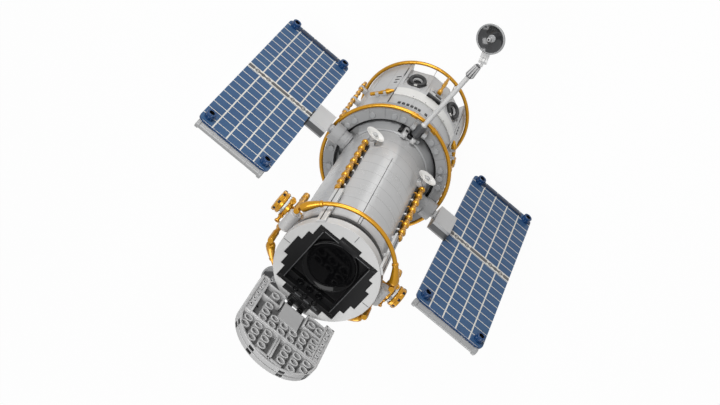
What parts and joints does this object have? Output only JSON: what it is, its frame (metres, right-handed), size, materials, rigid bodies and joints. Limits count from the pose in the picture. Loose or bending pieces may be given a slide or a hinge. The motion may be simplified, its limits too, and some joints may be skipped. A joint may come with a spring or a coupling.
{
  "type": "brick-built space telescope model",
  "caption": "Display model of an orbiting telescope: grey tube on a wider aft shroud, opening aperture door, turning solar arrays, folding dish antennas and gold hoses.",
  "frame": {"origin": "centre of the flat aft face that the model stands on", "axes": "+Z along the tube to the open front, +X along the right array's arm, +Y along the upper antenna boom"},
  "size_m": [0.2704, 0.305, 0.3997],
  "materials": {
    "light_grey": "satin moulded plastic",
    "dark_grey": "satin moulded plastic",
    "black": "satin moulded plastic",
    "black_gloss": "gloss moulded plastic",
    "gold": "metallic gold coated plastic",
    "white": "gloss moulded plastic",
    "cell_blue": "printed sheet with cell lines",
    "dark_blue": "gloss moulded plastic"
  },
  "bodies": {
    "telescope": {"aft_bulkhead": "light_grey", "aft_hose": "gold", "aft_lever": "gold", "aft_lever_base": "light_grey", "aft_shroud": "light_grey", "aperture_frame": "black", "aperture_well": "black", "array_hub_left": "dark_grey", "array_hub_right": "dark_grey", "bay_hubs": "light_grey", "bay_tyres": "black", "bead_rail_left": "gold", "bead_rail_right": "gold", "boom_foot_bottom": "light_grey", "boom_foot_top": "light_grey", "collar_drums": "light_grey", "door_hinge_base": "black", "equipment_hose": "gold", "equipment_section": "light_grey", "flat_rail_left": "white", "flat_rail_right": "white", "front_collar": "light_grey", "front_hose": "gold", "groove_ring": "dark_grey", "hand_rail_clips": "light_grey", "hand_rails": "gold", "hose_fittings": "gold", "light_shield_tube": "light_grey", "mirror_dish": "black_gloss", "shroud_band": "white", "small_dish_left": "white", "small_dish_right": "white", "valve_cluster_left": "gold", "valve_cluster_right": "gold"},
    "door": {"door_arm": "light_grey", "door_panel": "light_grey", "door_rim": "light_grey"},
    "array_left": {"array_left_bar": "dark_grey", "array_left_cheek": "dark_grey", "array_left_panel": "cell_blue", "array_left_posts": "dark_blue", "array_left_rollers": "light_grey", "array_left_yoke": "light_grey"},
    "array_right": {"array_right_bar": "dark_grey", "array_right_cheek": "dark_grey", "array_right_panel": "cell_blue", "array_right_posts": "dark_blue", "array_right_rollers": "light_grey", "array_right_yoke": "light_grey"},
    "boom_top": {"boom_top_pole": "light_grey", "boom_top_socket": "dark_grey"},
    "boom_bottom": {"boom_bottom_pole": "light_grey", "boom_bottom_socket": "dark_grey"},
    "dish_top": {"dish_top_feed": "light_grey", "dish_top_joint": "white", "dish_top_reflector": "dark_grey"},
    "dish_bottom": {"dish_bottom_feed": "light_grey", "dish_bottom_joint": "white", "dish_bottom_reflector": "dark_grey"}
  },
  "joints": [
    {"name": "door_hinge", "type": "hinge", "parent": "telescope", "child": "door", "pos_m": [0, -0.037, 0.3285], "axis": [1, 0, 0], "range_deg": [-90, 15]},
    {"name": "array_left_turn", "type": "hinge", "parent": "telescope", "child": "array_left", "pos_m": [-0.05, 0, 0.14], "axis": [1, 0, 0], "continuous": true},
    {"name": "array_right_turn", "type": "hinge", "parent": "telescope", "child": "array_right", "pos_m": [0.05, 0, 0.14], "axis": [1, 0, 0], "continuous": true},
    {"name": "boom_top_fold", "type": "hinge", "parent": "telescope", "child": "boom_top", "pos_m": [0, 0.0462, 0.141], "axis": [1, 0, 0], "range_deg": [0, 75]},
    {"name": "boom_bottom_fold", "type": "hinge", "parent": "telescope", "child": "boom_bottom", "pos_m": [0, -0.0462, 0.141], "axis": [-1, 0, 0], "range_deg": [0, 75]},
    {"name": "dish_top_tilt", "type": "hinge", "parent": "boom_top", "child": "dish_top", "pos_m": [0, 0.124, 0.141], "axis": [0.9397, 0.342, 0], "range_deg": [-30, 30]},
    {"name": "dish_bottom_tilt", "type": "hinge", "parent": "boom_bottom", "child": "dish_bottom", "pos_m": [0, -0.124, 0.141], "axis": [-0.9397, 0.342, 0], "range_deg": [-30, 30]}
  ]
}
